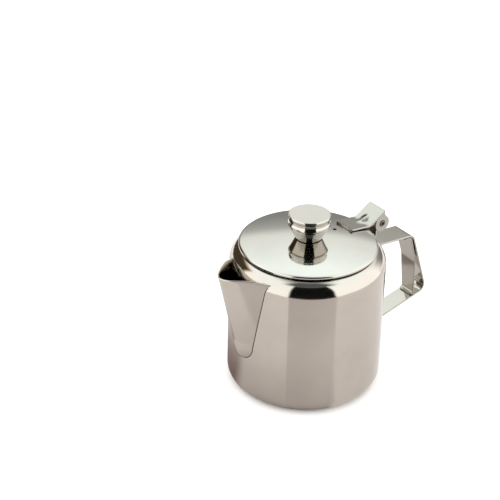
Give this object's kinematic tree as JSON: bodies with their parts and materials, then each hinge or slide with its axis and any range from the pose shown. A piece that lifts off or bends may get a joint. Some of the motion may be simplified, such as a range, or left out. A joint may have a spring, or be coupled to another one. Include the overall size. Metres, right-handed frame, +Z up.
{
  "type": "coffee pot",
  "caption": "Round stainless steel coffee pot with a V-shaped beak spout, a strap handle with an inner grip strap, and a hinged domed lid with a thumb plate and a knob.",
  "frame": {"origin": "centre of the flat base, on the pot's axis, in the plane it rests on", "axes": "+Z up along the pot's axis, +X towards the handle, the spout points along -X, +Y along the lid's hinge axis"},
  "size_m": [0.1827, 0.11, 0.13],
  "materials": {
    "body_steel": "mirror-polished stainless sheet, drawn and spun",
    "spout_steel": "mirror-polished stainless sheet",
    "handle_steel": "polished stainless strip",
    "grip_strap_steel": "polished stainless strip",
    "bracket_steel": "plain stainless strip",
    "pin_steel": "plain stainless tube",
    "lid_steel": "mirror-polished stainless sheet",
    "hinge_strap_steel": "polished stainless strip",
    "knob_base_steel": "mirror-polished stainless",
    "knob_cap_steel": "mirror-polished stainless",
    "fastener_steel": "plain stainless fasteners"
  },
  "bodies": {
    "pot": {"body_shell": "body_steel", "spout_shell": "spout_steel", "handle_outer_strap": "handle_steel", "handle_inner_strap": "grip_strap_steel", "hinge_bracket": "bracket_steel", "hinge_pin": "pin_steel"},
    "lid": {"lid_disc": "lid_steel", "lid_hinge_strap": "hinge_strap_steel", "knob_base": "knob_base_steel", "knob_cap": "knob_cap_steel", "knob_nut": "fastener_steel", "knob_screw": "fastener_steel", "knob_washer": "fastener_steel"}
  },
  "joints": [
    {"name": "lid_hinge", "type": "hinge", "parent": "pot", "child": "lid", "pos_m": [0.0596, 0, 0.1085], "axis": [0, 1, 0], "range_deg": [0, 105]}
  ]
}
